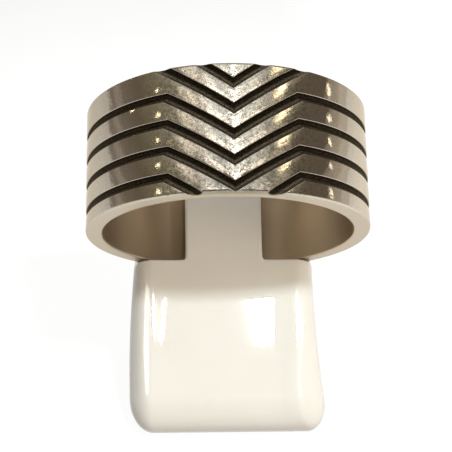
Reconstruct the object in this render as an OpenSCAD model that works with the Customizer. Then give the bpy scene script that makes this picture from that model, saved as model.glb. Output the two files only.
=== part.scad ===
// Wide flat band ring with engraved chevrons, held by a leaning display stand.
// X runs to the right, the front faces -Y and Z is up. The stand's foot lies on Z = 0.
// The ring and the stand are drawn upright round the ring's axis, with Z = 0 at the ring's lower
// rim, and are then leaned back together.

/* [Band] */
// Inner diameter of the band
bore_d = 18; // [17.6:0.1:18.4]
// Thickness of the band's wall
wall_t = 1.2; // [1.1:0.05:1.4]
// Width of the band along its axis
band_w = 9; // [8.7:0.1:9.5]
// Radius of the softened outer edges of the rims
outer_edge_r = 0.18; // [0.1:0.02:0.26]
// Radius of the softened inner edges of the rims
inner_edge_r = 0.1; // [0.06:0.02:0.2]

/* [Engraving] */
// Width of a groove
groove_w = 0.6; // [0.5:0.02:0.66]
// Depth of a groove
groove_depth = 0.3; // [0.2:0.05:0.4]
// Number of grooves that run round the band
groove_count = 4; // [2:1:4]
// Height of the lowest groove above the lower rim
first_groove_h = 1.35; // [1.2:0.05:1.5]
// Distance from one groove to the next
groove_pitch = 1.865; // [1.8:0.005:1.9]
// Angle from the front at which the grooves turn down
kink_angle = 26.3; // [24:0.1:28]
// Number of chevrons over the kinked ones, which run out through the upper rim
open_chevron_count = 2; // [0:1:2]
// Height of the point of the lowest whole chevron above the lower rim
first_point_h = 0.42; // [0.4:0.01:0.6]
// Distance from one chevron's point to the next
point_pitch = 1.793; // [1.75:0.001:1.85]

/* [Stand] */
// Lean of the stand's front and of the ring's axis, back from upright
lean = 45; // [40:1:48]
// Distance from the ring's axis back to the stand's front
front_back = 6.53; // [6.4:0.01:6.6]
// Width of the tongue that stands inside the ring
tongue_w = 5.93; // [5.5:0.01:6]
// Thickness of the tongue
tongue_t = 1.8; // [1.5:0.05:1.85]
// Height of the tongue above the shoulders
tongue_h = 12.5; // [10:0.5:14]
// Width of the body at the shoulders
shoulder_w = 13.85; // [13.5:0.05:14.2]
// Width of the body at the foot
foot_w = 14.85; // [14.4:0.05:15.2]
// Length of the body's front from the shoulders to the centre of the rounded toe
front_len = 10.7; // [10:0.1:12]
// Radius of the rounded toe, seen from the side
toe_r = 2.3; // [2:0.1:2.6]
// Radius of the upright edges of the body's front, seen from above
corner_r = 1.6; // [1.2:0.1:1.8]
// Radius of the upper edges of the shoulders
shoulder_edge_r = 0.4; // [0.3:0.05:0.6]
// Radius of the edges at the body's back
back_edge_r = 0.9; // [0.6:0.1:1.1]
// Height of the lip behind the ring, above the shoulders
lip_h = 2.2; // [1.8:0.1:3]
// Thickness of the lip behind the ring
lip_t = 1.6; // [1.4:0.1:2]
// Gap between the ring and the stand
ring_gap = 0.06; // [0.05:0.01:0.1]

/* [Hidden] */

$fn = 96;
outer_r = bore_d / 2 + wall_t;
floor_r = outer_r - groove_depth;

// Half-width of the chevrons, and of those that run out through the upper rim
kink_x = outer_r * sin(kink_angle);
open_x = 6.5;
// Reach of the cutting solids past the band's surface
cut_past = 1;
cut_r = outer_r + cut_past;

// Heights of groove number i, at its chevron's point and at its kinks
function point_h(i) = first_point_h + (i - 1) * point_pitch;
function kink_h(i) = first_groove_h + i * groove_pitch;

// Centres of the toe and of the lip's back edge, seen from the side, as
// [distance behind the ring's axis, height above the lower rim]
toe_at = [front_back + toe_r, -front_len];
lip_at = [outer_r + ring_gap + lip_t - back_edge_r, lip_h - back_edge_r];
// Depth of the cut that gives the toe its flat stretch under it
foot_trim = 0.12;

// The same places turned to the lean, as [world Y, world Z] before the part is centred
function leaned(p) = [p[0] * cos(lean) + p[1] * sin(lean), p[1] * cos(lean) - p[0] * sin(lean)];
floor_z = leaned(toe_at)[1] - toe_r + foot_trim;
back_y = leaned(lip_at)[0] + back_edge_r;
front_y = leaned([outer_edge_r - outer_r, outer_edge_r])[0] - outer_edge_r;
tip_y = leaned([front_back + tongue_t, tongue_h])[0];
centre_y = (front_y + tip_y) / 2;
// Side of the block that keeps what lies above the foot
keep_size = 60;

module leaned_back() {
    translate([0, -centre_y, -floor_z]) rotate([-lean, 0, 0]) children();
}

// Flat ring profile with softened corners, to the right of the axis
module band_profile() {
    inner_r = bore_d / 2;
    square_x = inner_r + inner_edge_r;
    translate([square_x, 0]) square([outer_r - outer_edge_r - square_x, band_w]);
    translate([inner_r, inner_edge_r]) square([wall_t - outer_edge_r, band_w - 2 * inner_edge_r]);
    translate([square_x, outer_edge_r]) square([outer_r - square_x, band_w - 2 * outer_edge_r]);
    for (edge = [[square_x, inner_edge_r], [outer_r - outer_edge_r, outer_edge_r]])
        for (h = [edge[1], band_w - edge[1]])
            translate([edge[0], h]) circle(r = edge[1]);
}

// Outline of a groove, seen from the front: level at the sides, and turned down into a chevron
module kinked_outline(point_h, kink_h) {
    slope = (kink_h - point_h) / kink_x;
    rise = groove_w / 2 / cos(atan(slope));
    mitre = (rise - groove_w / 2) / slope;
    top_h = kink_h + groove_w / 2;
    low_h = kink_h - groove_w / 2;
    right = [
        [0, point_h + rise], [kink_x - mitre, top_h], [cut_r, top_h],
        [cut_r, low_h], [kink_x + mitre, low_h], [0, point_h - rise]
    ];
    left = [for (i = [len(right) - 2:-1:1]) [-right[i][0], right[i][1]]];
    polygon(concat(right, left));
}

// Outline of a chevron with straight arms, which run out through the upper rim
module open_outline(point_h, kink_h) {
    slope = (kink_h - point_h) / kink_x;
    rise = groove_w / 2 / cos(atan(slope));
    end_h = point_h + slope * open_x;
    polygon([
        [0, point_h + rise], [open_x, end_h + rise], [open_x, end_h - rise],
        [0, point_h - rise], [-open_x, end_h - rise], [-open_x, end_h + rise]
    ]);
}

// All the grooves as solids, cut to one depth round the band
module grooves() {
    intersection() {
        difference() {
            translate([0, 0, -cut_past]) cylinder(r = cut_r, h = band_w + 2 * cut_past);
            translate([0, 0, -2 * cut_past]) cylinder(r = floor_r, h = band_w + 4 * cut_past);
        }
        union() {
            rotate([90, 0, 0]) linear_extrude(height = cut_r) {
                for (i = [0:groove_count - 1]) kinked_outline(point_h(i), kink_h(i));
                for (i = [groove_count:groove_count + open_chevron_count - 1])
                    open_outline(point_h(i), kink_h(i));
            }
            for (i = [0:groove_count - 1])
                translate([-cut_r, 0, kink_h(i) - groove_w / 2]) cube([2 * cut_r, cut_r, groove_w]);
        }
    }
}

module band() {
    color([0.72, 0.68, 0.62]) leaned_back() difference() {
        rotate_extrude() band_profile();
        grooves();
    }
}

// Rounded corner of the body at the end of a shoulder
module shoulder_corner() {
    rotate_extrude($fn = 40)
        translate([corner_r - shoulder_edge_r, -shoulder_edge_r]) circle(r = shoulder_edge_r, $fn = 20);
}

// Body with all its corners rounded, before its foot is flattened
module body_blank() {
    hull() for (side = [-1, 1]) {
        translate([side * (shoulder_w / 2 - corner_r), front_back + corner_r, 0]) shoulder_corner();
        translate([side * (foot_w / 2 - corner_r), toe_at[0], toe_at[1]])
            scale([corner_r, toe_r, toe_r]) sphere(r = 1, $fn = 40);
        translate([side * (shoulder_w / 2 - back_edge_r), lip_at[0], lip_at[1]])
            sphere(r = back_edge_r, $fn = 24);
        rotate([lean, 0, 0]) translate([side * (foot_w / 2 - back_edge_r), back_y - back_edge_r, floor_z])
            cylinder(r = back_edge_r, h = back_edge_r, $fn = 24);
    }
}

// Round hollow that the ring sits in, open to the front
module ring_seat() {
    translate([0, 0, -ring_gap]) cylinder(r = outer_r + ring_gap, h = lip_h + cut_past);
}

module tongue() {
    root = 2 * toe_r;
    translate([0, front_back + tongue_t, 0]) rotate([90, 0, 0]) linear_extrude(height = tongue_t) {
        translate([-tongue_w / 2, -root]) square([tongue_w, root + tongue_h - tongue_w / 2]);
        translate([0, tongue_h - tongue_w / 2]) circle(r = tongue_w / 2);
    }
}

module stand() {
    color([0.95, 0.94, 0.9]) {
        intersection() {
            leaned_back() difference() {
                body_blank();
                ring_seat();
            }
            translate([-keep_size / 2, -keep_size / 2, 0]) cube(keep_size);
        }
        leaned_back() tongue();
    }
}

band();
stand();
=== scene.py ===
"""Looks of a silver band ring with engraved chevrons on its leaning white display stand.

Lengths are in millimetres, unless a comment says metres, up to the point where a mesh, lamp or camera
is made, which is in metres in the frame of the CAD model. The ring is drawn upright round its own axis,
with height 0 at its lower rim and its front towards -Y, and is then leaned back with the stand.
"""
import math

import bpy
import numpy as np
from mathutils import Euler, Matrix, Vector


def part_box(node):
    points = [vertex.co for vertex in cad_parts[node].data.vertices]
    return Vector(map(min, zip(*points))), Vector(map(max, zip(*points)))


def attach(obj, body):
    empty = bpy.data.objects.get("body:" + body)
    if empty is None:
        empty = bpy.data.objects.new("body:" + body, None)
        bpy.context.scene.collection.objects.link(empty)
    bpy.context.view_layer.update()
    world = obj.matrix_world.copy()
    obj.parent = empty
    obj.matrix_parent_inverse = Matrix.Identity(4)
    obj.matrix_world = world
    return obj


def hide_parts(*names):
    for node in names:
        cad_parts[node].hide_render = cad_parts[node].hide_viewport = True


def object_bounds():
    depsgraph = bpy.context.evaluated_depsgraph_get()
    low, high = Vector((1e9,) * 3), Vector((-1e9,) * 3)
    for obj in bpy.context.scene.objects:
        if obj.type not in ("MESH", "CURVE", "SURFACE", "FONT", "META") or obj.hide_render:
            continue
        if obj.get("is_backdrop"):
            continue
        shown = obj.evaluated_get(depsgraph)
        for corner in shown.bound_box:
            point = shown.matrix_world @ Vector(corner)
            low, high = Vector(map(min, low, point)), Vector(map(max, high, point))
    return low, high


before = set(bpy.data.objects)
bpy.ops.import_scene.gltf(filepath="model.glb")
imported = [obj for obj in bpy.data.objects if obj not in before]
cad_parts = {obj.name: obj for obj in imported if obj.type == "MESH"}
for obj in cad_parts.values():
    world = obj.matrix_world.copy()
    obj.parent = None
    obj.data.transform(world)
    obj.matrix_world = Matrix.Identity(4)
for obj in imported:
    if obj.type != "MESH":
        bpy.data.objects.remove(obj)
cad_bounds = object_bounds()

MM = 0.001

# Ring
BORE_R = 9.0
# A thousandth of a millimetre less than the CAD solid's, so that rounding never takes it out of the CAD box
OUTER_R = 10.199
BAND_W = 9.0
OUTER_EDGE_R = 0.18
INNER_EDGE_R = 0.1
LEAN = math.radians(45)

# Engraving: half-widths of the level grooves and of the chevrons' arms, the number of grooves that run
# level beyond their kinks, and of chevrons whose arms run out through the upper rim
LEVEL_HALF = 0.28
ARM_HALF = 0.32
LEVEL_GROOVES = 4
OPEN_CHEVRONS = 2
# Heights above the lower rim of the level grooves and of the chevrons' points
FIRST_GROOVE_H = 1.35
GROOVE_PITCH = 1.865
FIRST_POINT_H = 0.39
POINT_PITCH = 1.793
# The lowest groove runs out through the lower rim with steeper arms
LOWEST_POINT_DROP = 0.42
# Distances from the front's middle line: of the kinks, and past the ends of the open chevrons' arms
KINK_X = OUTER_R * math.sin(math.radians(26.3))
OPEN_REACH_X = 6.5
# Slope of the second lowest groove's arms, which the scratches follow
ARM_SLOPE = (FIRST_GROOVE_H + GROOVE_PITCH - FIRST_POINT_H) / KINK_X
# Rise of the whole engraving from left to right, as it isn't cut quite square to the ring, and the
# distance from a rim at which it is complete
ENGRAVING_LEAN = 0.0085
LEAN_FADE = 0.9

# Cross-section of a groove with worn edges, from outside in: share of its half-width, and depth
GROOVE_SECTION = (
    (1.12, 0.012),
    (1.04, 0.018),
    (0.97, 0.05),
    (0.9, 0.11),
    (0.78, 0.18),
    (0.6, 0.235),
    (0.38, 0.28),
    (0.14, 0.3),
)
# Share of its half-width at which a groove begins
GROOVE_EDGE = GROOVE_SECTION[0][0]
# Tilt of the slightly crowned lands where they meet the grooves
LAND_TILT = math.radians(4)
# Outward tilt of the rims' shading, as wear has crowned them a little, and the radius that it reaches in to
RIM_TILT = math.radians(5)
RIM_TILT_R = BORE_R + 0.55
# Steps round a rim's rounded edge, as shares of a quarter circle
EDGE_TURNS = (0.0, 0.33, 0.67, 1.0)
# Heights of the ring's mesh that are closer than this are the same point
SAME_HEIGHT = 0.0003
# Least step between columns of the ring's mesh, and the widest at the front and at the back, as angles
LEAST_STEP = 0.0002
FRONT_STEP = math.radians(1.2)
BACK_STEP = math.radians(2.5)
# Slack in the test for points inside a groove
ROUNDING = 1e-6

# Stand: its front lies this far behind the ring's axis, and its shoulders at height 0
FRONT_BACK = 6.53
TONGUE_W = 5.93
STAND_VOXEL = 0.115
STAND_SMOOTHING = 8
# Distances from the corner between tongue and shoulder over which the smoothing sets in
CORNER_FADE = (0.3, 0.8)
# The front's unevenness fades out between these depths behind the ring's axis, and these heights
FRONT_FADE = (FRONT_BACK + 0.1, FRONT_BACK + 1.7)
SHOULDER_FADE = (-0.5, 1.0)
# The front's middle is slightly sunk between two soft steps: distance of a step from the middle
# line, its softness on the inner and the outer side, and its slope by the height, left and right
STEP_X = 5.05
STEP_SOFTNESS = (0.82, 1.15)
STEP_HEIGHTS = (-12.3, -9.0, -6.5, -5.4, -4.2, -2.1, 0.0)
STEP_SLOPES = (
    (0.0, 0.028, 0.0505, 0.0555, 0.0605, 0.0895, 0.11),
    (0.05, 0.09, 0.1, 0.104, 0.106, 0.108, 0.108),
)
# Distance from the middle line up to which the steps are drawn, which is past the sides, and its samples
STEP_REACH = 8
STEP_SAMPLES = 401
# The front also leans back this much towards the toe
FRONT_TILT = 0.0115
# Sideways bend of the body, by the distance below the shoulders and its square
BEND = (-0.042, 0.00547)
# Widening of the rounding of the right edge towards the toe: how much, where it sets in by the distance
# below the shoulders, and where it sets in and fades out by the distance from the middle line
RIGHT_ROUNDING = 0.75
ROUNDING_BELOW = (4.5, 11)
ROUNDING_IN = (3.2, 5.4)
ROUNDING_OUT = (6.1, 7.4)

# Looks by the place round the ring, as the cosine of the turn from the front's middle line: where
# tarnish, wear and the darkening towards the lower rim begin and are complete, and where the grooves'
# lower sides turn from black to lighter, partly by wear and partly as painted light
TARNISH_FRONT = (0.8, 0.94)
WEAR_FRONT = (0.86, 0.94)
FRONT_DARKENING_PLACE = (0.92, 0.98)
WORN_AND_LIT_GROOVES_FRONT = (0.0, 0.3)
# Looks by the part of the ring, where each begins and is complete: the rims' by the share of half the
# band's width from its middle, the grooves' by the share of their depth, and their black, which on their
# upper side is painted shade, by the share of their width from its lower side. The inner wall's ends at
# this share of the outer radius
RIM_PART = (0.985, 0.998)
GROOVE_PART = (0.05, 0.3)
SHADED_UPPER_PART = (0.02, 0.54)
INSIDE_PART = (0.885, 0.9)
# Share of the front's scratches and pits on the rest of the outside, and on the rims
BACK_WEAR = 0.3
RIM_WEAR = 0.1
# How many times longer than wide the scratches are
SCRATCH_STRETCH = 6.0
# Colours of the lands, from dark to light, of their tarnish, of the rims and of the inner wall
LAND_TINTS = ((0.53, 0.475, 0.39), (0.65, 0.585, 0.49))
TARNISH_TINT = (0.2, 0.17, 0.13, 1)
RIM_TINT = (0.61, 0.55, 0.46, 1)
INSIDE_TINT = (0.58, 0.485, 0.37, 1)
# Colour of the silver where it is seen at a flat angle
GRAZING_TINT = (0.78, 0.72, 0.63, 1)
# Brightness of the front, by the share of the band's width above the lower rim
FRONT_DARKENING = ((0.1, 0.6), (0.7, 1.0))
# Colours of the grooves, from dark to light: where they are black, which is patina and on their upper
# sides also painted shade, and where their lower sides are lighter, partly by wear and partly as painted
# light
BLACK_TINTS = ((0.012, 0.009, 0.006), (0.05, 0.038, 0.024))
WORN_AND_LIT_TINTS = ((0.05, 0.04, 0.028), (0.66, 0.55, 0.4))
# Roughness of the lands, from polished to pitted, of the rims and the inner wall, and of the grooves
LAND_ROUGHNESS = (0.04, 0.13)
DULL_ROUGHNESS = 0.36
GROOVE_ROUGHNESS = 0.5
# Heights of the silver's waves, scratches and pits, in metres
WAVE_HEIGHT = 0.000011
SCRATCH_HEIGHT = 0.000008
PIT_HEIGHT = 0.0000038
# Colours and roughness of the plastic, from dark to light and from smooth to dull
PLASTIC_TINTS = ((0.87, 0.85, 0.80), (0.89, 0.87, 0.82))
PLASTIC_ROUGHNESS = (0.015, 0.025)

# Floor: half its size, in metres
FLOOR_HALF = 2.0
# Width over which its glow changes, in metres, the glow from left to right across that width, and the
# share of it by the distance from the middle, in metres
FLOOR_FADE = 0.12
FLOOR_GLOW = ((0.0, 0.84), (0.32, 0.92), (0.6, 0.94), (0.8, 1.13), (1.0, 1.18))
FLOOR_FADING = ((0.07, 1.0), (0.11, 0.9), (0.25, 0.76), (0.8, 0.7))
FLOOR_TINT = (0.12, 0.12, 0.12, 1)
FLOOR_ROUGHNESS = 0.9

# Camera: it stands a little to the left and looks down at the ring
CAMERA_AT = (-4.689, -85.328, 61.445)
CAMERA_TURN = (61.2801, -1.149, -2.5447)
CAMERA_LENS = 103.54
CAMERA_SENSOR = 36
# Nearest distance that it shows
CAMERA_NEAR = 5

# Lamps: name, turn and rise from the ring's front, width and height, all in degrees, radiance, colour.
# They stand at this distance in metres, unless they give their own, and face this point
LAMP_DISTANCE = 0.6
LAMP_AIM = (0, 0, 15)
# Lamps that show only in the stand's gloss
GLOSS_LAMPS = (
    ("main_lamp", 4.7, 11.2, 0.95, 2.2, 2200, (0.83, 0.93, 1.0)),
    ("main_lamp_low", 4.7, 10.1, 0.55, 2.3, 2200, (0.83, 0.93, 1.0)),
    ("glow", 17, 9.5, 13, 11, 1.5, (1.0, 1.0, 0.96)),
    ("left_light", -26, 8.5, 34, 9, 8, (1.0, 0.97, 0.92)),
    ("right_light", 31, 7.5, 13, 9.5, 8, (1.0, 0.96, 0.9)),
)
# Lamps that show only in the ring's silver
SILVER_LAMPS = (
    ("top_light", 3, 23, 36, 14, 0.45, (0.8, 0.94, 1.0)),
    ("middle_light", 4, 22.8, 5, 3, 6, (0.95, 0.98, 1.0)),
    ("low_middle_light", 4, 13.8, 11, 3.6, 19, (0.95, 0.98, 1.0)),
    ("left_strip", -17, 23, 8, 4.2, 1.9, (1.0, 0.98, 0.96)),
    ("low_left_strip", -13, 15.8, 18, 3.4, 5, (1.0, 0.98, 0.96)),
    ("far_left_light", -31, 22.5, 18, 3, 1.7, (1.0, 0.96, 0.88)),
    ("far_left_strip", -34, 25, 16, 6, 0.35, (1.0, 0.93, 0.8)),
    ("low_far_left_light", -31, 16.2, 20, 2.5, 2, (1.0, 0.96, 0.88)),
    ("right_strip", 19, 23, 14, 7, 0.6, (1.0, 0.95, 0.85)),
    ("low_right_strip", 20, 14, 22, 4, 3.6, (1.0, 0.96, 0.9)),
    ("far_right_light", 39, 14, 24, 6, 0.45, (1.0, 0.93, 0.82)),
    ("right_spot", 40, 25, 8, 9, 3.8, (1.0, 0.87, 0.6)),
    ("left_spot", -58, 18.5, 1.6, 2.2, 7, (1.0, 0.93, 0.66)),
    ("left_glint", -48, 17, 0.8, 0.8, 7, (1.0, 0.93, 0.66)),
    ("far_left_glint", -86, 28, 1.5, 1.5, 10, (1.0, 0.93, 0.66)),
    ("far_right_strip", 87, 20, 2.2, 4.5, 2.4, (1.0, 0.92, 0.75)),
)
# Lamps that no mirror shows, for the diffuse light on the stand, with their own distance as the last value
FILL_LAMPS = (
    ("front_fill", 30, -12, 60, 24, 2.8, (1.0, 0.82, 0.645), 0.6),
    ("back_fill", 180, 73, 60, 28, 1.3, (1.0, 0.97, 0.93), 0.6),
    ("side_fill", 45, -1, 24, 4.5, 11, (0.9, 1.0, 0.84), 0.03),
    ("main_fill", 10, 8.0, 6, 4.8, 272, (0.85, 0.93, 0.97), 0.12),
)

# Light of the room by the sine of the height above the horizon, to the left and to the right
ROOM_LEFT = (
    (-0.1, (0.26, 0.24, 0.22)),
    (-0.01, (0.52, 0.49, 0.46)),
    (0.03, (0.26, 0.23, 0.21)),
    (0.06, (0.27, 0.24, 0.22)),
    (0.10, (0.38, 0.34, 0.31)),
    (0.15, (0.37, 0.33, 0.29)),
    (0.19, (0.23, 0.20, 0.17)),
    (0.40, (0.17, 0.145, 0.105)),
    (0.57, (0.25, 0.23, 0.17)),
    (0.76, (0.36, 0.34, 0.28)),
    (0.84, (0.45, 0.42, 0.38)),
    (0.90, (0.74, 0.74, 0.74)),
    (1.0, (0.85, 0.86, 0.86)),
)
ROOM_RIGHT = (
    (-0.1, (0.70, 0.66, 0.60)),
    (0.10, (0.68, 0.63, 0.56)),
    (0.13, (0.52, 0.48, 0.42)),
    (0.23, (0.42, 0.38, 0.33)),
    (0.29, (0.30, 0.26, 0.22)),
    (0.31, (0.15, 0.125, 0.10)),
    (0.62, (0.17, 0.145, 0.115)),
    (0.72, (0.40, 0.37, 0.30)),
    (0.79, (0.48, 0.46, 0.40)),
    (0.85, (0.58, 0.58, 0.56)),
    (1.0, (0.85, 0.88, 0.86)),
)
# Where the left side's light turns into the right side's, from 0 at the far left to 1 at the far right
ROOM_MIDDLE = (0.42, 0.58)


def smooth_share(low, high, value):
    """Share that rises smoothly from 0 at low to 1 at high."""
    t = np.clip((value - low) / (high - low), 0, 1)
    return t * t * (3 - 2 * t)


def ring_space():
    """Matrix from the upright ring, in millimetres, to the leaning ring of the CAD model, in metres."""
    low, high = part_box("band")
    lean = Matrix.Rotation(-LEAN, 4, "X")
    middle = (low + high) / 2
    return Matrix.Translation(middle) @ lean @ Matrix.Scale(MM, 4) @ Matrix.Translation((0, 0, -BAND_W / 2))


def upright_points(mesh, back):
    """Coordinates x, y and height of a mesh's points, which the matrix back turns upright."""
    points = np.empty(len(mesh.vertices) * 3)
    mesh.vertices.foreach_get("co", points)
    return (points.reshape(-1, 3) @ back[:3, :3].T + back[:3, 3]).T


def groove_line(i):
    """Groove i's height at its point, its slope, its height at the kinks, and its upright half-width."""
    point = FIRST_POINT_H + (i - 1) * POINT_PITCH - (LOWEST_POINT_DROP if i == 0 else 0)
    kink = FIRST_GROOVE_H + i * GROOVE_PITCH
    slope = (kink - point) / KINK_X
    return point, slope, kink, ARM_HALF * math.hypot(1, slope)


GROOVES = [groove_line(i) for i in range(LEVEL_GROOVES + OPEN_CHEVRONS)]
# Shares of a groove's half-width that the ring's mesh follows, on both sides of its middle
GROOVE_SHARES = [sign * row[0] for row in GROOVE_SECTION for sign in (-1, 1)]


def line_height(i, across, x):
    """Height at x of the line that follows groove i at a share across of its half-width."""
    point, slope, kink, arm_half = GROOVES[i]
    arm = point + slope * x + across * arm_half
    return np.minimum(arm, kink + across * LEVEL_HALF) if i < LEVEL_GROOVES else arm


def middle_line(i):
    """Height at the middle line and slope of the line halfway between groove i and the next one."""
    point, slope, _, arm_half = GROOVES[i]
    next_point, next_slope, _, next_half = GROOVES[i + 1]
    return (point + next_point + GROOVE_EDGE * (arm_half - next_half)) / 2, (slope + next_slope) / 2


def share_across(i, x, height):
    """Share of groove i's half-width at which a point lies, and whether it lies on an arm."""
    point, slope, kink, arm_half = GROOVES[i]
    on_arm = (height - point - slope * x) / arm_half
    level = (height - kink) / LEVEL_HALF if i < LEVEL_GROOVES else on_arm
    return np.maximum(on_arm, level), on_arm >= level


def rim_heights():
    """Heights of the steps round the outer edges of both rims. Each rim's last one is the rim itself."""
    rises = [OUTER_EDGE_R * (1 - math.sin(turn * math.pi / 2)) for turn in EDGE_TURNS]
    return [BAND_W * top + rise * (1 - 2 * top) for top in (0, 1) for rise in rises]


def ring_columns():
    """Angles of the mesh's columns, from -pi to pi: where two of its lines meet, and evenly between.

    Of columns that would nearly meet, only the first is kept.
    """
    places = [0.0]
    for i, (point, slope, kink, arm_half) in enumerate(GROOVES):
        for share in GROOVE_SHARES:
            if i < LEVEL_GROOVES:
                places.append(KINK_X - share * (arm_half - LEVEL_HALF) / slope)
            places += [(rim - point - share * arm_half) / slope for rim in rim_heights()]
        if i + 1 < len(GROOVES):
            point, slope = middle_line(i)
            places += [(rim - point) / slope for rim in rim_heights()]
    half = [math.asin(x / OUTER_R) for x in places if 0 <= x < OPEN_REACH_X]
    half += list(np.arange(0, math.pi / 2, FRONT_STEP))
    half += list(np.arange(math.pi / 2, math.pi, BACK_STEP))
    half = np.sort(half)
    half = half[np.append(True, np.diff(half) > LEAST_STEP)]
    return np.concatenate([[-math.pi], -half[:0:-1], half])


def distance_from_middle(angles):
    """Distance x of the columns from the front's middle line, which keeps growing round the back."""
    x = np.abs(OUTER_R * np.sin(angles))
    return np.where(np.cos(angles) < 0, 2 * OUTER_R - x, x)


def line_heights(angles):
    """Heights of the mesh's lines at each column: on the grooves, halfway between them, and on the rims."""
    x = distance_from_middle(angles)
    rows = [line_height(i, share, x) for i in range(len(GROOVES)) for share in GROOVE_SHARES]
    for i in range(len(GROOVES) - 1):
        rows.append((line_height(i, GROOVE_EDGE, x) + line_height(i + 1, -GROOVE_EDGE, x)) / 2)
    rows += [np.full_like(x, height) for height in rim_heights()]
    return np.clip(np.array(rows), 0, BAND_W)


def engraving(angles, height):
    """Depth of the engraving at points of the ring's outside, its slopes upwards and sideways, and the
    share of the groove's half-width, which is negative below its middle."""
    x = distance_from_middle(angles)
    shares = np.array([row[0] for row in GROOVE_SECTION])[::-1]
    depths = np.array([row[1] for row in GROOVE_SECTION])[::-1]
    falls = np.arctan2(np.diff(depths), np.diff(shares) * LEVEL_HALF)
    turns = np.concatenate([[0.0], (falls[1:] + falls[:-1]) / 2, [-LAND_TILT]])
    depth, up, aside, side = np.zeros((4, len(x)))
    for i, (_, slope, _, _) in enumerate(GROOVES):
        share, on_arm = share_across(i, x, height)
        inside = np.abs(share) < GROOVE_EDGE + ROUNDING
        depth = np.where(inside, np.interp(np.abs(share), shares, depths), depth)
        fall = np.tan(np.interp(np.abs(share), shares, turns)) * np.sign(share)
        steep = np.where(on_arm, slope, 0) / math.hypot(1, slope)
        up = np.where(inside, fall * np.sqrt(1 - steep ** 2), up)
        aside = np.where(inside, -fall * steep * np.sign(np.sin(angles)), aside)
        side = np.where(inside, share, side)
    return depth, up, aside, side


def outside(angles, height):
    """Points and shading normals of the ring's engraved outside, and for its looks the depth of the
    grooves and the share of their half-width."""
    depth, up, aside, side = engraving(angles, height)
    gap = np.minimum(height, BAND_W - height)
    tilt = np.clip(1 - gap / OUTER_EDGE_R, 0, 1)
    body = OUTER_R - OUTER_EDGE_R * (1 - np.sqrt(1 - tilt ** 2))
    radius = np.minimum(body, OUTER_R - depth)
    plain = (radius >= body) & (tilt > 0)
    up = np.where(plain, tilt * np.sign(height - BAND_W / 2), up)
    out = np.where(plain, np.sqrt(1 - tilt ** 2), 1.0)
    aside = np.where(plain, 0.0, aside)
    sin, cos = np.sin(angles), np.cos(angles)
    askew = ENGRAVING_LEAN * OUTER_R * sin * smooth_share(OUTER_EDGE_R, LEAN_FADE, gap)
    points = np.stack([radius * sin, -radius * cos, height + askew], axis=1)
    normals = np.stack([out * sin + aside * cos, -out * cos + aside * sin, up], axis=1)
    looks = {"groove": (body - radius) / GROOVE_SECTION[-1][1], "side": side}
    return points, normals / np.linalg.norm(normals, axis=1)[:, None], looks


def places_up(heights):
    """Place of each height in its column, from below, where heights that lie together share one."""
    order = np.argsort(heights, axis=0, kind="stable")
    apart = np.diff(np.take_along_axis(heights, order, axis=0), axis=0) > SAME_HEIGHT
    places = np.zeros(heights.shape, dtype=int)
    np.put_along_axis(places, order[1:], np.cumsum(apart, axis=0), axis=0)
    return places


def without_doubles(quads):
    """The quads as loops without repeated corners, and without those that have no area."""
    loops = []
    for quad in quads.tolist():
        loop = [corner for k, corner in enumerate(quad) if corner != quad[k - 1]]
        if len(loop) > 2:
            loops.append(loop)
    return loops


def ring_outside(angles):
    """The ring's outside: points, loops, shading normals of the loops' corners and looks of the points,
    and then the points on the lower rim and on the upper one."""
    heights = line_heights(angles)
    column = np.broadcast_to(np.arange(len(angles)), heights.shape)
    key = column * len(heights) + places_up(heights)
    _, first, vertex = np.unique(key, return_index=True, return_inverse=True)
    vertex = vertex.reshape(key.shape)
    points, normals, looks = outside(angles[column.ravel()[first]], heights.ravel()[first])
    left = np.take_along_axis(vertex, np.argsort(heights, axis=0, kind="stable"), axis=0)
    right = np.roll(left, -1, axis=1)
    quads = np.stack([left[:-1], right[:-1], right[1:], left[1:]], axis=-1).reshape(-1, 4)
    loops = without_doubles(quads)
    shading = [normals[corner] for loop in loops for corner in loop]
    return points, loops, shading, looks, vertex[-1 - len(EDGE_TURNS)], vertex[-1]


def ring_inside(angles):
    """Points and normals of the sections from the lower rim through the bore to the upper rim."""
    rows = []
    for top in (0, 1):
        side = 1 - 2 * top
        edge = [(BAND_W * top, RIM_TILT_R, -RIM_TILT / (math.pi / 2))]
        for turn in EDGE_TURNS:
            tilt = turn * math.pi / 2
            rise = INNER_EDGE_R * (1 - math.cos(tilt))
            edge.append((BAND_W * top + side * rise, BORE_R + INNER_EDGE_R * (1 - math.sin(tilt)), turn))
        rows += edge if side > 0 else edge[::-1]
    sin, cos = np.sin(angles), np.cos(angles)
    for height, radius, turn in rows:
        side = -1 if height < BAND_W / 2 else 1
        inwards = math.sin(turn * math.pi / 2)
        points = np.stack([radius * sin, -radius * cos, np.full_like(angles, height)], axis=1)
        up = np.full_like(angles, side * math.cos(turn * math.pi / 2))
        yield points, np.stack([-inwards * sin, inwards * cos, up], axis=1)


def ring_shape():
    """Points, loops, shading normals of the loops' corners, and looks of the points on the outside."""
    angles = ring_columns()
    points, loops, shading, looks, low_rim, top_rim = ring_outside(angles)
    level = np.zeros_like(angles)
    outwards = np.stack([np.sin(angles), -np.cos(angles), level], axis=1) * math.sin(RIM_TILT)
    upwards = np.array([0.0, 0.0, math.cos(RIM_TILT)])
    sections = [(low_rim, outwards - upwards)]
    for row_points, row_normals in ring_inside(angles):
        sections.append((np.arange(len(points), len(points) + len(angles)), row_normals))
        points = np.concatenate([points, row_points])
    sections.append((top_rim, outwards + upwards))
    for (low, low_normals), (high, high_normals) in zip(sections, sections[1:]):
        for k in range(len(angles)):
            n = (k + 1) % len(angles)
            loops.append([int(corner) for corner in (high[k], high[n], low[n], low[k])])
            shading += [high_normals[k], high_normals[n], low_normals[n], low_normals[k]]
    return points, loops, shading, looks


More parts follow.
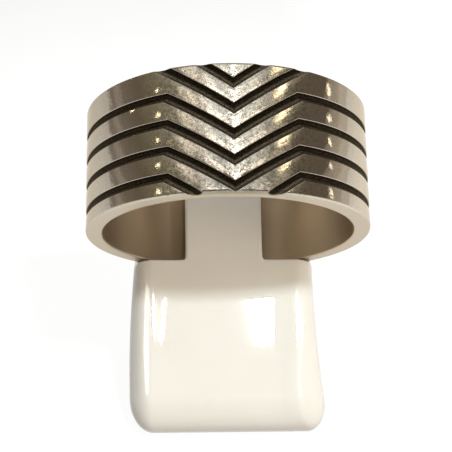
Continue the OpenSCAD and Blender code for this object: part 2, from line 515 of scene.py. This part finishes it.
def make_ring(material):
    """The engraved ring as one closed mesh, which shows in place of the CAD model's band."""
    points, loops, shading, looks = ring_shape()
    space = ring_space()
    mesh = bpy.data.meshes.new("ring")
    mesh.from_pydata([space @ Vector(point) for point in points.tolist()], [], loops)
    turn = np.array(space.to_3x3().normalized())
    mesh.polygons.foreach_set("use_smooth", [True] * len(mesh.polygons))
    mesh.normals_split_custom_set((np.array(shading) @ turn.T).tolist())
    for name, values in looks.items():
        attribute = mesh.attributes.new(name, "FLOAT", "POINT")
        attribute.data.foreach_set("value", np.pad(values, (0, len(points) - len(values))))
    mesh.materials.append(material)
    ring = bpy.data.objects.new("ring", mesh)
    bpy.context.collection.objects.link(ring)
    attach(ring, "root")
    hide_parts("band")
    return ring


def step_height(x, height):
    """How far the front stands out at x from its middle, beyond the soft steps at its sides."""
    reach = np.linspace(0, STEP_REACH, STEP_SAMPLES)
    softness = np.where(reach < STEP_X, *STEP_SOFTNESS)
    slope = np.exp(-((reach - STEP_X) / softness) ** 2)
    profile = np.concatenate([[0.0], np.cumsum((slope[1:] + slope[:-1]) / 2 * np.diff(reach))])
    left, right = (np.interp(height, STEP_HEIGHTS, slopes) for slopes in STEP_SLOPES)
    strength = np.where(x < 0, left, right)
    return strength * np.interp(np.abs(x), reach, profile)


def shape_moulding(mesh):
    """Moves the points of the moulding's body so that it has the unevenness of a real one."""
    space = np.array(ring_space())
    x, y, height = upright_points(mesh, np.linalg.inv(space))
    front = 1 - smooth_share(*FRONT_FADE, y)
    body = 1 - smooth_share(*SHOULDER_FADE, height)
    below = np.clip(-height, 0, None)
    sunk = FRONT_TILT * below - step_height(x, height)
    wider = RIGHT_ROUNDING * smooth_share(*ROUNDING_BELOW, below)
    wider = wider * smooth_share(*ROUNDING_IN, x) * (1 - smooth_share(*ROUNDING_OUT, x))
    x = x + BEND[0] * below + BEND[1] * below ** 2 - wider * front
    y = y + sunk * front * body
    moved = np.stack([x, y, height], axis=1) @ space[:3, :3].T + space[:3, 3]
    moved[:, 2] = np.maximum(moved[:, 2], 0)
    mesh.vertices.foreach_set("co", moved.ravel())
    mesh.update()


def corner_weights(mesh):
    """Share of the smoothing at each point: little in the sharp corners between tongue and shoulders."""
    x, _, height = upright_points(mesh, np.array(ring_space().inverted()))
    away = np.hypot(np.abs(x) - TONGUE_W / 2, height)
    return smooth_share(*CORNER_FADE, away)


def modified_mesh(thing):
    """A new mesh of the object's shape with its modifiers, which are then taken off."""
    mesh = bpy.data.meshes.new_from_object(thing.evaluated_get(bpy.context.evaluated_depsgraph_get()))
    thing.modifiers.clear()
    return mesh


def make_stand(material):
    """The moulding, remeshed from the CAD solid so that its edges are soft."""
    stand = bpy.data.objects.new("moulding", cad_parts["stand"].data.copy())
    bpy.context.collection.objects.link(stand)
    remesh = stand.modifiers.new("remesh", "REMESH")
    remesh.mode = "VOXEL"
    remesh.voxel_size = STAND_VOXEL * MM
    stand.data = modified_mesh(stand)
    group = stand.vertex_groups.new(name="smoothing")
    for i, weight in enumerate(corner_weights(stand.data).tolist()):
        group.add([i], weight, "REPLACE")
    smooth = stand.modifiers.new("smooth", "SMOOTH")
    smooth.iterations = STAND_SMOOTHING
    smooth.vertex_group = group.name
    mesh = modified_mesh(stand)
    stand.vertex_groups.clear()
    stand.data = mesh
    shape_moulding(mesh)
    mesh.polygons.foreach_set("use_smooth", [True] * len(mesh.polygons))
    mesh.materials.clear()
    mesh.materials.append(material)
    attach(stand, "root")
    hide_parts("stand")
    return stand


def grey(value):
    """Grey colour, which also serves as a value that is mixed like a colour."""
    return value, value, value, 1


class Nodes:
    """Short forms for making a shader's nodes. A value is a constant or the output of another node."""

    def __init__(self, tree):
        self.tree = tree

    def add(self, kind, inputs=(), **settings):
        """Node of a kind, with its inputs by name or number and its settings by name."""
        node = self.tree.nodes.new("ShaderNode" + kind)
        for name, value in settings.items():
            setattr(node, name, value)
        for socket, value in dict(inputs).items():
            self.put(node.inputs[socket], value)
        return node

    def put(self, socket, value):
        """Sets an input to a value."""
        if isinstance(value, bpy.types.NodeSocket):
            self.tree.links.new(value, socket)
        else:
            socket.default_value = value

    def math(self, operation, *values):
        """Result of a calculation with one to three values."""
        return self.add("Math", enumerate(values), operation=operation).outputs[0]

    def times(self, vector, factors):
        """Vector or colour with each part multiplied by its own factor."""
        return self.add("VectorMath", {0: vector, 1: factors}, operation="MULTIPLY").outputs["Vector"]

    def length(self, vector):
        return self.add("VectorMath", {0: vector}, operation="LENGTH").outputs["Value"]

    def attribute(self, name):
        return self.add("Attribute", attribute_name=name).outputs["Fac"]

    def ramp(self, factor, *stops):
        """Colour or grey by a factor, between stops that each give a place and a colour or number."""
        node = self.add("ValToRGB", {"Fac": factor})
        elements = node.color_ramp.elements
        while len(elements) < len(stops):
            elements.new(0.5)
        for element, (place, colour) in zip(elements, stops):
            element.position = place
            element.color = (*colour, 1) if isinstance(colour, tuple) else grey(colour)
        return node.outputs["Color"]

    def grow(self, factor, low, high):
        """Share that grows from 0 at low to 1 at high."""
        return self.ramp(factor, (low, 0.0), (high, 1.0))

    def fade(self, factor, low, high):
        """Share that fades from 1 at low to 0 at high."""
        return self.ramp(factor, (low, 1.0), (high, 0.0))

    def noise(self, vector, scale, detail, roughness=0.5):
        inputs = {"Vector": vector, "Scale": scale, "Detail": detail, "Roughness": roughness}
        return self.add("TexNoise", inputs).outputs["Fac"]

    def mix(self, factor, one, other):
        """Colour that is one at factor 0 and the other at factor 1."""
        return self.add("Mix", {0: factor, 6: one, 7: other}, data_type="RGBA").outputs[2]

    def bump(self, height, distance, beneath=None):
        """Normal bent by a relief of this greatest height in metres, on top of the one beneath."""
        inputs = {"Height": height, "Strength": 1.0, "Distance": distance}
        if beneath is not None:
            inputs["Normal"] = beneath
        return self.add("Bump", inputs).outputs[0]


def new_material(name):
    """A material, the short forms for its nodes, and its shader."""
    material = bpy.data.materials.new(name)
    material.use_nodes = True
    return material, Nodes(material.node_tree), material.node_tree.nodes["Principled BSDF"]


def ring_place(nodes):
    """Object coordinates turned upright with the ring, in millimetres from its middle."""
    low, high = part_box("band")
    upright = Matrix.Rotation(LEAN, 3, "X")
    middle = upright @ ((low + high) / 2) / MM
    place = nodes.add("TexCoord").outputs["Object"]
    turned = {"Vector": place, "Location": -middle, "Rotation": (LEAN, 0, 0), "Scale": (1 / MM,) * 3}
    return nodes.add("Mapping", turned).outputs["Vector"]


def scratch_noise(nodes, x, y, z):
    """Noise that is stretched along the grooves."""
    up_arm = nodes.math("MINIMUM", nodes.math("ABSOLUTE", x), KINK_X)
    across = nodes.math("MULTIPLY_ADD", up_arm, -ARM_SLOPE, z)
    along = nodes.add("CombineXYZ", {0: x, 1: y, 2: nodes.math("MULTIPLY", across, SCRATCH_STRETCH)})
    return nodes.noise(along.outputs[0], scale=0.9, detail=3, roughness=0.6)


def land_tint(nodes, place, z, front, on_rim):
    """Colour of the ring's lands and rims: cloudy, and at the front tarnished and darker towards the lower
    rim.
    """
    dark, light = LAND_TINTS
    clouds = nodes.noise(place, scale=9.0, detail=3, roughness=0.6)
    cloudy = nodes.ramp(clouds, (0.34, dark), (0.66, light))
    spots = nodes.noise(place, scale=4.5, detail=5, roughness=0.75)
    spots = nodes.ramp(spots, (0.42, 0.65), (0.52, 0.0))
    spots = nodes.math("MULTIPLY", spots, nodes.grow(front, *TARNISH_FRONT))
    lands = nodes.mix(spots, cloudy, TARNISH_TINT)
    # At the front the silver is darker towards the lower rim
    rise = nodes.math("MULTIPLY_ADD", z, 1 / BAND_W, 0.5)
    darkened = nodes.mix(nodes.grow(front, *FRONT_DARKENING_PLACE), grey(1), nodes.ramp(rise, *FRONT_DARKENING))
    return nodes.times(nodes.mix(on_rim, lands, RIM_TINT), darkened)


def groove_tint(nodes, place, front):
    """Colour of the grooves: black patina, which is also painted shade towards their upper side, and at the
    front lighter on their lower sides, partly by wear and partly as painted light.
    """
    dark, light = BLACK_TINTS
    black = nodes.ramp(nodes.noise(place, scale=8.0, detail=3), (0.35, dark), (0.7, light))
    # Lower sides at the front: lighter, partly by wear and partly as painted light
    dark, light = WORN_AND_LIT_TINTS
    worn = nodes.ramp(nodes.noise(place, scale=13.0, detail=2), (0.34, dark), (0.66, light))
    side = nodes.math("MULTIPLY_ADD", nodes.attribute("side"), 0.5, 0.5)
    # Painted shade: the grooves are black towards their upper side
    upper = nodes.grow(side, *SHADED_UPPER_PART)
    behind = nodes.fade(front, *WORN_AND_LIT_GROOVES_FRONT)
    return nodes.mix(nodes.math("MAXIMUM", upper, behind), worn, black)


def silver_material():
    """Polished silver with blackened grooves, which is tarnished, pitted and scratched at the front."""
    material, nodes, shader = new_material("silver")
    place = ring_place(nodes)
    x, y, z = nodes.add("SeparateXYZ", {"Vector": place}).outputs
    pits = nodes.noise(place, scale=7.0, detail=4, roughness=0.75)

    # Parts of the ring
    front = nodes.math("DIVIDE", y, -OUTER_R)
    from_middle = nodes.math("DIVIDE", nodes.math("ABSOLUTE", z), BAND_W / 2)
    on_rim = nodes.grow(from_middle, *RIM_PART)
    from_axis = nodes.math("DIVIDE", nodes.length(nodes.times(place, (1.0, 1.0, 0.0))), OUTER_R)
    inside = nodes.fade(from_axis, *INSIDE_PART)
    groove = nodes.grow(nodes.attribute("groove"), *GROOVE_PART)

    # Colour and roughness
    silver = nodes.mix(inside, land_tint(nodes, place, z, front, on_rim), INSIDE_TINT)
    nodes.put(shader.inputs["Base Color"], nodes.mix(groove, silver, groove_tint(nodes, place, front)))
    smooth, rough = LAND_ROUGHNESS
    polished = nodes.ramp(pits, (0.4, smooth), (0.75, rough))
    dull = nodes.mix(inside, nodes.mix(on_rim, polished, grey(DULL_ROUGHNESS)), grey(DULL_ROUGHNESS))
    nodes.put(shader.inputs["Roughness"], nodes.mix(groove, dull, grey(GROOVE_ROUGHNESS)))
    shader.inputs["Metallic"].default_value = 1.0
    shader.inputs["Specular Tint"].default_value = GRAZING_TINT

    # Relief
    worn = nodes.ramp(front, (WEAR_FRONT[0], BACK_WEAR), (WEAR_FRONT[1], 1.0))
    wear = nodes.mix(on_rim, worn, grey(RIM_WEAR))
    waves = nodes.bump(nodes.noise(place, scale=1.5, detail=2), WAVE_HEIGHT)
    scratches = nodes.math("MULTIPLY", scratch_noise(nodes, x, y, z), wear)
    scratched = nodes.bump(scratches, SCRATCH_HEIGHT, waves)
    pitted = nodes.bump(nodes.math("MULTIPLY", pits, wear), PIT_HEIGHT, scratched)
    nodes.put(shader.inputs["Normal"], pitted)
    return material


def plastic_material():
    """Glossy white plastic with slight unevenness."""
    material, nodes, shader = new_material("white_plastic")
    place = nodes.add("TexCoord").outputs["Object"]
    dark, light = PLASTIC_TINTS
    tint = nodes.ramp(nodes.noise(place, scale=300, detail=4), (0.3, dark), (0.7, light))
    smooth, dull = PLASTIC_ROUGHNESS
    waves = nodes.noise(place, scale=600, detail=3, roughness=0.6)
    shine = nodes.ramp(waves, (0.3, smooth), (0.8, dull))
    nodes.put(shader.inputs["Base Color"], tint)
    nodes.put(shader.inputs["Roughness"], shine)
    return material


def floor_material():
    """Plain white with a glow of its own, which grows to the right and fades away from the middle."""
    material, nodes, shader = new_material("floor")
    place = nodes.add("TexCoord").outputs["Object"]
    x = nodes.add("SeparateXYZ", {"Vector": place}).outputs["X"]
    glow = nodes.ramp(nodes.math("MULTIPLY_ADD", x, 1 / FLOOR_FADE, 0.5), *FLOOR_GLOW)
    fading = nodes.ramp(nodes.length(place), *FLOOR_FADING)
    nodes.put(shader.inputs["Emission Strength"], nodes.math("MULTIPLY", glow, fading))
    shader.inputs["Base Color"].default_value = FLOOR_TINT
    shader.inputs["Roughness"].default_value = FLOOR_ROUGHNESS
    shader.inputs["Specular IOR Level"].default_value = 0.0
    shader.inputs["Emission Color"].default_value = (1, 1, 1, 1)
    return material


def make_floor():
    mesh = bpy.data.meshes.new("floor")
    corners = [(x * FLOOR_HALF, y * FLOOR_HALF, 0) for x, y in ((-1, -1), (1, -1), (1, 1), (-1, 1))]
    mesh.from_pydata(corners, [], [(0, 1, 2, 3)])
    mesh.materials.append(floor_material())
    floor = bpy.data.objects.new("floor", mesh)
    bpy.context.collection.objects.link(floor)
    floor.visible_diffuse = False
    floor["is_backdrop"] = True


def make_camera():
    camera = bpy.data.objects.new("camera", bpy.data.cameras.new("camera"))
    camera.data.lens = CAMERA_LENS
    camera.data.sensor_width = CAMERA_SENSOR
    camera.data.clip_start = CAMERA_NEAR * MM
    camera.location = Vector(CAMERA_AT) * MM
    camera.rotation_euler = Euler([math.radians(angle) for angle in CAMERA_TURN])
    bpy.context.collection.objects.link(camera)
    bpy.context.scene.camera = camera


def direction(turn, rise):
    """Unit vector from the ring, turned right from its front and raised towards its axis, in degrees."""
    t, r = math.radians(turn), math.radians(rise)
    upright = Vector((math.sin(t) * math.cos(r), -math.cos(t) * math.cos(r), math.sin(r)))
    return Matrix.Rotation(-LEAN, 3, "X") @ upright


def make_lamp(name, turn, rise, width, height, radiance, colour, distance=LAMP_DISTANCE):
    """An elliptic area lamp that faces the ring. Its size is given as the angles that it fills."""
    data = bpy.data.lights.new(name, "AREA")
    data.shape = "ELLIPSE"
    data.size = 2 * distance * math.tan(math.radians(width / 2))
    data.size_y = 2 * distance * math.tan(math.radians(height / 2))
    # Pi times the radiance times the ellipse's area
    data.energy = radiance * math.pi * math.pi / 4 * data.size * data.size_y
    data.color = colour
    lamp = bpy.data.objects.new(name, data)
    towards = direction(turn, rise)
    upwards = Matrix.Rotation(-LEAN, 3, "X") @ Vector((0, 0, 1))
    across = upwards.cross(towards).normalized()
    axes = Matrix((across, towards.cross(across), towards)).transposed()
    lamp.matrix_world = Matrix.Translation(towards * distance + Vector(LAMP_AIM) * MM) @ axes.to_4x4()
    bpy.context.collection.objects.link(lamp)
    return lamp


def make_mirrored_lamps(piece, lamps):
    """Lamps that show only as reflections in one piece."""
    receivers = bpy.data.collections.new(piece.name + "_mirror")
    receivers.objects.link(piece)
    for values in lamps:
        lamp = make_lamp(*values)
        lamp.visible_diffuse = False
        lamp.light_linking.receiver_collection = receivers


def make_fill_lamps():
    for values in FILL_LAMPS:
        lamp = make_lamp(*values)
        lamp.visible_glossy = False
        lamp.visible_camera = False


def make_room():
    """Surroundings that both pieces mirror and that light them evenly."""
    world = bpy.data.worlds.new("room")
    world.use_nodes = True
    bpy.context.scene.world = world
    nodes = Nodes(world.node_tree)
    place = nodes.add("SeparateXYZ", {"Vector": nodes.add("TexCoord").outputs["Generated"]})
    low = ROOM_LEFT[0][0]
    height = nodes.math("MULTIPLY_ADD", place.outputs["Z"], 1 / (1 - low), -low / (1 - low))
    left, right = (
        nodes.ramp(height, *(((sine - low) / (1 - low), colour) for sine, colour in stops))
        for stops in (ROOM_LEFT, ROOM_RIGHT)
    )
    across = nodes.math("MULTIPLY_ADD", place.outputs["X"], 0.5, 0.5)
    side = nodes.grow(across, *ROOM_MIDDLE)
    background = world.node_tree.nodes["Background"]
    nodes.put(background.inputs["Color"], nodes.mix(side, left, right))


ring = make_ring(silver_material())
stand = make_stand(plastic_material())
make_floor()
make_camera()
make_room()
make_mirrored_lamps(stand, GLOSS_LAMPS)
make_mirrored_lamps(ring, SILVER_LAMPS)
make_fill_lamps()
bpy.context.scene.view_settings.view_transform = "Standard"

visual_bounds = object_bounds()
[[list(corner) for corner in box] for box in (cad_bounds, visual_bounds)]
